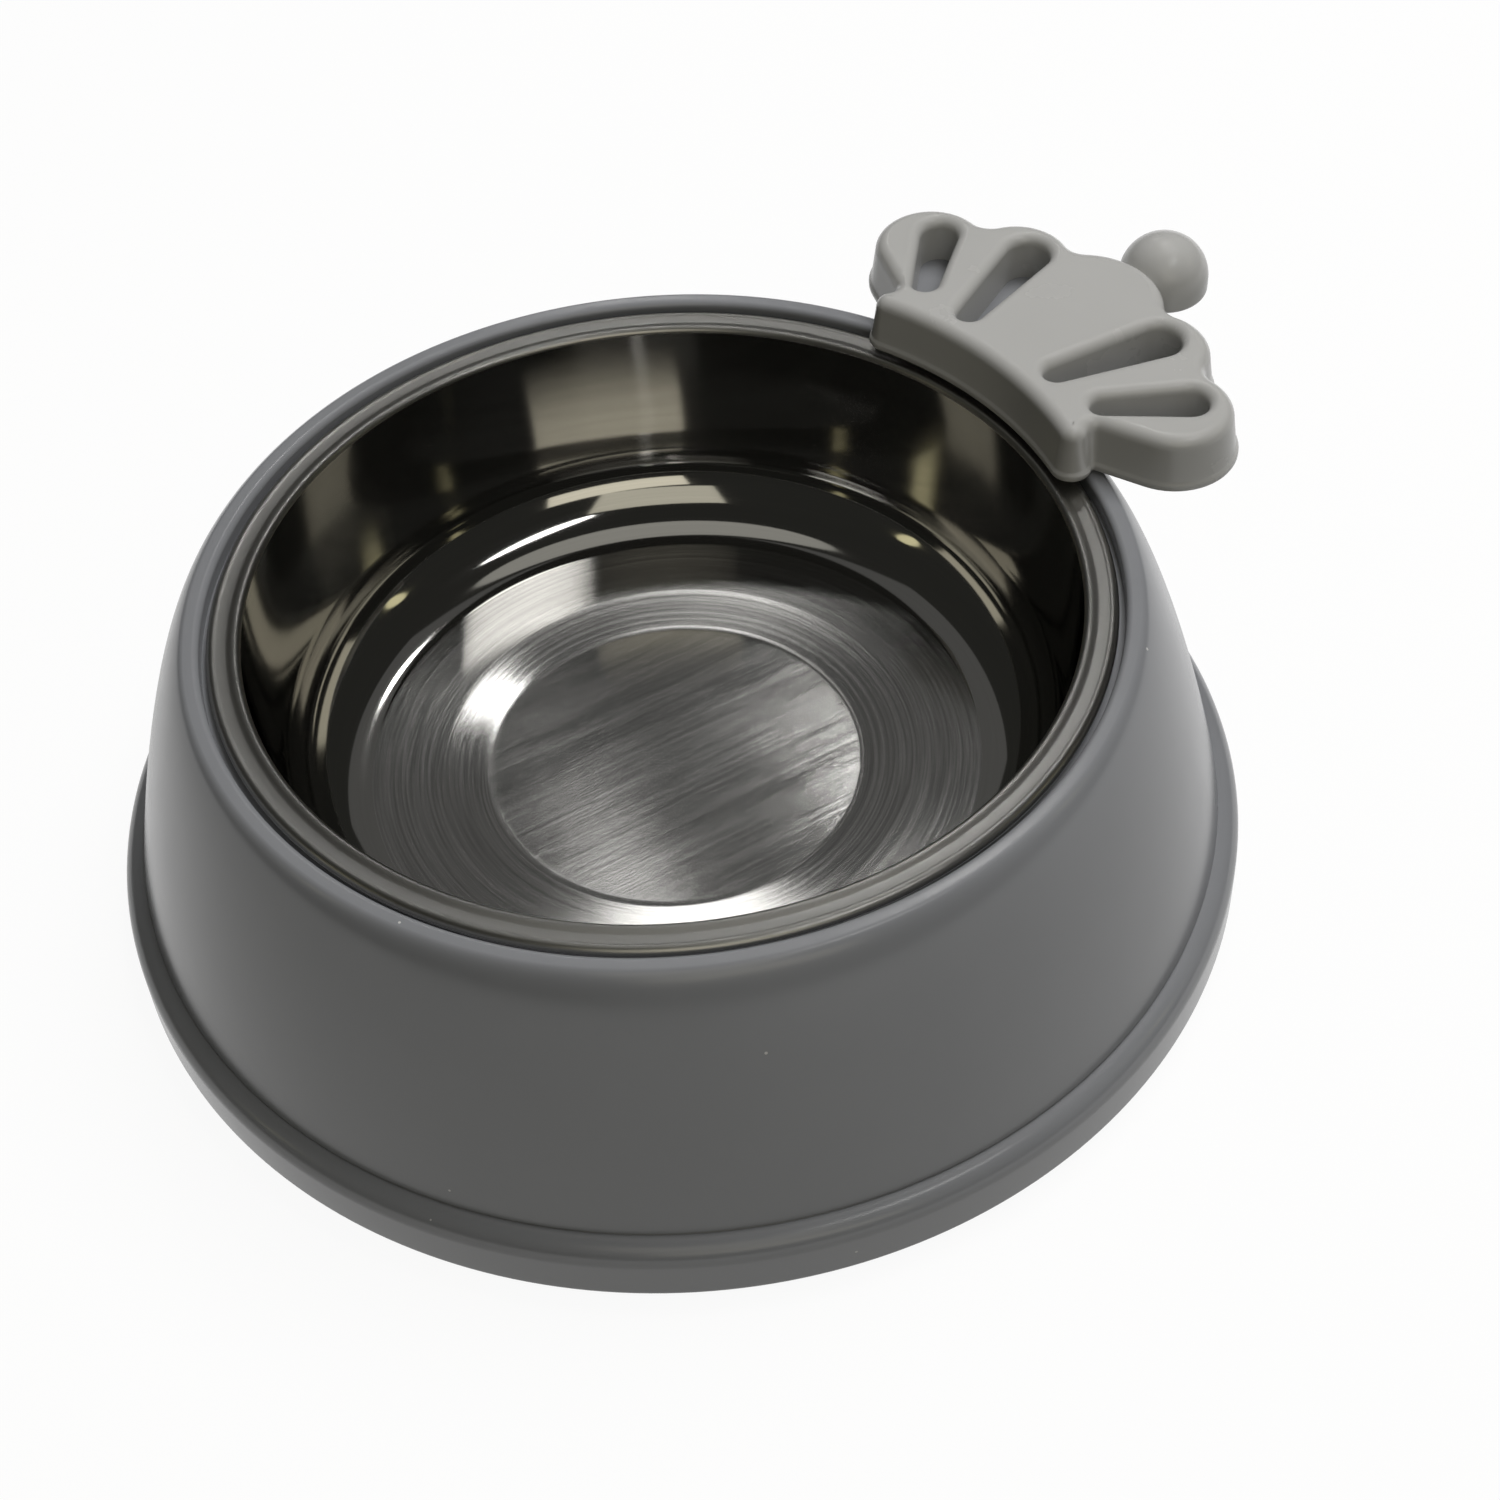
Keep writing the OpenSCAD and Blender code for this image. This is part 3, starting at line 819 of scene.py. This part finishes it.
def ringCoords(tree, coords):
    # distance from the axis and height, with a slow drift round the ring
    apart = addNode(tree, "ShaderNodeSeparateXYZ", {"Vector": coords}).outputs
    flat = addNode(tree, "ShaderNodeCombineXYZ", {"X": apart["X"], "Y": apart["Y"]}).outputs[0]
    away = addNode(tree, "ShaderNodeVectorMath", {0: flat}, operation="LENGTH").outputs["Value"]
    drift = maths(tree, "MULTIPLY", noise(tree, coords, *steelFinish["drift"]), steelFinish["driftReach"])
    return addNode(tree, "ShaderNodeCombineXYZ", {"X": away, "Y": apart["Z"], "Z": drift}).outputs[0]


def steel(name, look):
    # polished or satin sheet with faint lines round the axis
    finish, tree, shader = newFinish(name)
    coords = objectCoords(tree)
    lineCoords = ringCoords(tree, coords)
    lines = noise(tree, lineCoords, look["lineScale"], *steelFinish["fineLines"])
    broad = noise(tree, lineCoords, look["lineScale"] / steelFinish["broader"], *steelFinish["broadLines"])
    both = weighted(tree, lines, broad, steelFinish["fineShare"])
    smear = noise(tree, coords, *steelFinish["smear"])
    tint = spread(tree, both, 0, 1, 0.5 - look["contrast"], 0.5 + look["contrast"])
    colour = blendColours(tree, tint, steelFinish["deep"], steelFinish["pale"])
    tree.links.new(colour, shader.inputs["Base Color"])
    wear = weighted(tree, both, smear, steelFinish["lineWear"])
    tree.links.new(spread(tree, wear, *look["rough"], *steelFinish["wearRange"]), shader.inputs["Roughness"])
    tree.links.new(bump(tree, both, steelFinish["bump"], look["depth"]), shader.inputs["Normal"])
    shader.inputs["Metallic"].default_value = 1
    shader.inputs["Anisotropic"].default_value = look["anisotropy"]
    if look["anisotropy"]:
        tree.links.new(flatCoords(tree, coords), shader.inputs["Tangent"])
    return finish


def floorSteel(look):
    # brushed straight across the disc, satin round the ring, and blended at the disc's edge
    finish, tree, shader = newFinish("floorSteel")
    coords = objectCoords(tree)
    flat = flatCoords(tree, coords)
    away = addNode(tree, "ShaderNodeVectorMath", {0: flat}, operation="LENGTH").outputs["Value"]
    edge, soft = dish["discRadius"] * mm, look["edge"] * mm
    limits = {"Value": away, "From Min": edge - soft, "From Max": edge + soft}
    outside = addNode(tree, "ShaderNodeMapRange", limits, interpolation_type="SMOOTHSTEP").outputs["Result"]

    def both(onDisc, onRing):
        return addNode(tree, "ShaderNodeMix", {0: outside, 2: onDisc, 3: onRing}).outputs[0]

    turned = {"Vector": coords, "Rotation": (0, 0, radians(look["grainAngle"])),
              "Scale": (look["stretch"], 1, 1)}
    grain = addNode(tree, "ShaderNodeMapping", turned, vector_type="TEXTURE").outputs[0]
    straight = noise(tree, grain, *look["lines"])
    patches = noise(tree, grain, *look["patches"])
    ringLines = noise(tree, ringCoords(tree, coords), *look["ringLines"])
    lines = both(weighted(tree, straight, patches, look["lineShare"]), ringLines)
    tint = spread(tree, lines, 0, 1, *look["wearRange"])
    tree.links.new(blendColours(tree, tint, look["deep"], look["pale"]), shader.inputs["Base Color"])
    wear = weighted(tree, lines, noise(tree, coords, *look["smear"]), look["lineWear"])
    low, high = (both(onDisc, onRing) for onDisc, onRing in zip(look["discRough"], look["ringRough"]))
    tree.links.new(spread(tree, wear, low, high, *look["wearRange"]), shader.inputs["Roughness"])
    fine = both(maths(tree, "MULTIPLY", straight, look["discLines"]), ringLines)
    tree.links.new(bump(tree, fine, look["bump"], look["depth"]), shader.inputs["Normal"])
    # the sheen spreads across the brushed lines
    acrossDisc = (*polar(1, look["grainAngle"] + 90), 0)
    radial = addNode(tree, "ShaderNodeVectorMath", {0: flat}, operation="NORMALIZE").outputs[0]
    across = addNode(tree, "ShaderNodeMix", {0: outside, 4: acrossDisc, 5: radial},
                     data_type="VECTOR").outputs[1]
    tree.links.new(across, shader.inputs["Tangent"])
    shader.inputs["Metallic"].default_value = 1
    shader.inputs["Anisotropic"].default_value = look["anisotropy"]
    return finish


def dishFinishes(piece):
    kinds = [steel("polishedSteel", steelFinish["wall"]), floorSteel(brushedFinish),
             steel("rimSteel", steelFinish["rim"])]
    for kind in kinds:
        piece.data.materials.append(kind)
    wallKind, floorKind, rimKind = range(len(kinds))
    rimStart = dish["rimHeight"] - dish["rimBand"]
    facesDown = -0.1
    for face in piece.data.polygons:
        away = hypot(face.center.x, face.center.y) / mm
        if face.center.z / mm > rimStart:
            face.material_index = rimKind
        elif away < dish["floorEnd"] or face.normal.z < facesDown:
            face.material_index = floorKind
        else:
            face.material_index = wallKind


footFinish = {
    "name": "footRubber", "deep": (0.030, 0.030, 0.032, 1), "pale": (0.060, 0.060, 0.062, 1), "metal": 0,
    "rough": (0.62, 0.82), "grain": (900, 4, 0.6), "bump": 0.3, "depth": 1e-4,
}
screwFinish = {
    "name": "screwZinc", "deep": (0.46, 0.47, 0.48, 1), "pale": (0.62, 0.62, 0.61, 1), "metal": 1,
    "rough": (0.25, 0.42), "grain": (700, 4, 0.6), "bump": 0.15, "depth": 5e-5,
}


def grainyFinish(look):
    finish, tree, shader = newFinish(look["name"])
    grain = noise(tree, objectCoords(tree), *look["grain"])
    tree.links.new(blendColours(tree, spread(tree, grain, 0, 1), look["deep"], look["pale"]),
                   shader.inputs["Base Color"])
    tree.links.new(spread(tree, grain, *look["rough"]), shader.inputs["Roughness"])
    tree.links.new(bump(tree, grain, look["bump"], look["depth"]), shader.inputs["Normal"])
    shader.inputs["Metallic"].default_value = look["metal"]
    return finish


# Studio: a flat white round floor in a dim room

studio = {
    "floorReach": 1800, "floorSteps": 96, "middle": (0, 0.01, 0.04),
    "cameraShare": 0.93, "floorColour": (0.93, 0.93, 0.93, 1), "bounceColour": (0.20, 0.20, 0.195, 1),
    "roomColour": (0.030, 0.030, 0.027, 1),
    # big soft lamps light the colours, small bright ones leave the highlights
    "lamps": (
        {"name": "keyLamp", "shape": "RECTANGLE", "azimuth": 100, "elevation": 64, "distance": 1.3,
         "size": (0.7, 0.6), "power": 11.5, "colour": (1.0, 0.99, 0.98), "gloss": False},
        {"name": "frontLamp", "shape": "RECTANGLE", "azimuth": 5, "elevation": 60, "distance": 1.3,
         "size": (1.2, 0.9), "power": 1.5, "colour": (1.0, 0.99, 0.96), "gloss": False},
        {"name": "sideLamp", "shape": "RECTANGLE", "azimuth": 52, "elevation": 40, "distance": 1.3,
         "size": (0.7, 0.6), "power": 0.3, "colour": (0.97, 0.985, 1.0), "gloss": False},
        {"name": "lowGlint", "shape": "ELLIPSE", "azimuth": 147, "elevation": 34, "distance": 1.2,
         "size": (0.10, 0.13), "power": 0.18, "colour": (1.0, 0.99, 0.97), "gloss": True},
        {"name": "streakGlint", "shape": "ELLIPSE", "azimuth": 148.5, "elevation": 53.5, "distance": 1.2,
         "size": (0.06, 0.06), "power": 0.05, "colour": (1.0, 0.99, 0.97), "gloss": True},
        {"name": "highGlint", "shape": "ELLIPSE", "azimuth": 132.5, "elevation": 53.5, "distance": 1.2,
         "size": (0.085, 0.085), "power": 0.42, "colour": (1.0, 0.99, 0.97), "gloss": True},
        {"name": "backWall", "shape": "RECTANGLE", "azimuth": 147, "elevation": 50, "distance": 1.2,
         "size": (1.0, 0.7), "power": 0.20, "colour": (1.0, 0.99, 0.98), "gloss": True},
        {"name": "rightGlint", "shape": "ELLIPSE", "azimuth": 18, "elevation": 64, "distance": 1.2,
         "size": (0.55, 0.13), "power": 1.0, "colour": (1.0, 0.99, 0.97), "gloss": True},
        {"name": "topPanel", "shape": "ELLIPSE", "azimuth": 146, "elevation": 80, "distance": 1.2,
         "size": (0.8, 0.5), "power": 0.40, "colour": (1.0, 0.98, 0.9), "gloss": True},
        {"name": "creamPanel", "shape": "RECTANGLE", "azimuth": -36, "elevation": 48, "distance": 1.2,
         "size": (0.62, 0.55), "power": 0.8, "colour": (1.0, 0.95, 0.78), "gloss": True},
        {"name": "frontLow", "shape": "RECTANGLE", "azimuth": -24, "elevation": 27, "distance": 1.2,
         "size": (0.80, 0.30), "power": 0.85, "colour": (1.0, 0.94, 0.76), "gloss": True},
        {"name": "warmStripLeft", "shape": "ELLIPSE", "azimuth": 52, "elevation": 27, "distance": 1.2,
         "size": (0.12, 0.26), "power": 0.08, "colour": (1.0, 0.92, 0.55), "gloss": True},
        {"name": "warmStripRight", "shape": "ELLIPSE", "azimuth": -114, "elevation": 26, "distance": 1.2,
         "size": (0.12, 0.26), "power": 0.08, "colour": (1.0, 0.92, 0.55), "gloss": True},
    ),
}


def makeFloor():
    piece = startPiece("studioFloor", (0, 0, 0))
    lineTo((studio["floorReach"], 0, 0))
    spinRound(studio["floorSteps"])
    finishEdit()
    pick(piece)
    bpy.ops.object.shade_smooth()
    finish = bpy.data.materials.new("studioWhite")
    finish.use_nodes = True
    tree = finish.node_tree
    tree.nodes.clear()
    path = addNode(tree, "ShaderNodeLightPath").outputs
    seen = maths(tree, "MAXIMUM", path["Is Camera Ray"],
                maths(tree, "MAXIMUM", path["Is Glossy Ray"], path["Is Transmission Ray"]))
    lit = addNode(tree, "ShaderNodeBsdfDiffuse", {"Color": studio["floorColour"]}).outputs[0]
    white = addNode(tree, "ShaderNodeEmission", {"Color": (1, 1, 1, 1), "Strength": 1.0}).outputs[0]
    shown = addNode(tree, "ShaderNodeMixShader", {0: studio["cameraShare"], 1: lit, 2: white}).outputs[0]
    bounce = addNode(tree, "ShaderNodeBsdfDiffuse", {"Color": studio["bounceColour"]}).outputs[0]
    whole = addNode(tree, "ShaderNodeMixShader", {0: seen, 1: bounce, 2: shown}).outputs[0]
    addNode(tree, "ShaderNodeOutputMaterial", {"Surface": whole})
    piece.data.materials.append(finish)


def setLamps():
    middle = Vector(studio["middle"])
    for lamp in studio["lamps"]:
        x, y = polar(cos(radians(lamp["elevation"])), lamp["azimuth"])
        away = Vector((x, y, sin(radians(lamp["elevation"]))))
        bpy.ops.object.light_add(type="AREA", location=middle + away * lamp["distance"])
        light = bpy.context.object
        light.name = lamp["name"]
        light.rotation_euler = away.to_track_quat("Z", "Y").to_euler()
        light.data.shape = lamp["shape"]
        light.data.size, light.data.size_y = lamp["size"]
        light.data.energy = lamp["power"]
        light.data.color = lamp["colour"]
        light.visible_glossy = lamp["gloss"]


def setRoom():
    scene = bpy.context.scene
    scene.view_settings.view_transform = "Standard"
    world = scene.world or bpy.data.worlds.new("room")
    scene.world = world
    world.use_nodes = True
    inputs = world.node_tree.nodes["Background"].inputs
    inputs["Color"].default_value = studio["roomColour"]
    inputs["Strength"].default_value = 1.0


setCamera()
makeFloor()
setLamps()
setRoom()
print("studio set,", len(studio["lamps"]), "lamps")

steelDish = makeDish()
dishFinishes(steelDish)
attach(steelDish, "bowl")
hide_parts("steel_bowl")

crownPlate = makeCrown()
crownPlate.data.materials.append(mouldedPlastic("crownGloss", crownFinish))
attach(crownPlate, "base")
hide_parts("crown")

standShell = makeStand()
standShell.data.materials.append(mouldedPlastic("shellGloss", shellFinish))
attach(standShell, "base")
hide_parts("base_shell")

footRubber, screwZinc = grainyFinish(footFinish), grainyFinish(screwFinish)
for name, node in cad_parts.items():
    if name.startswith("rubber_foot"):
        node.data.materials.clear()
        node.data.materials.append(footRubber)
    elif name == "crown_screws":
        node.data.materials.clear()
        node.data.materials.append(screwZinc)
print("finishes set")
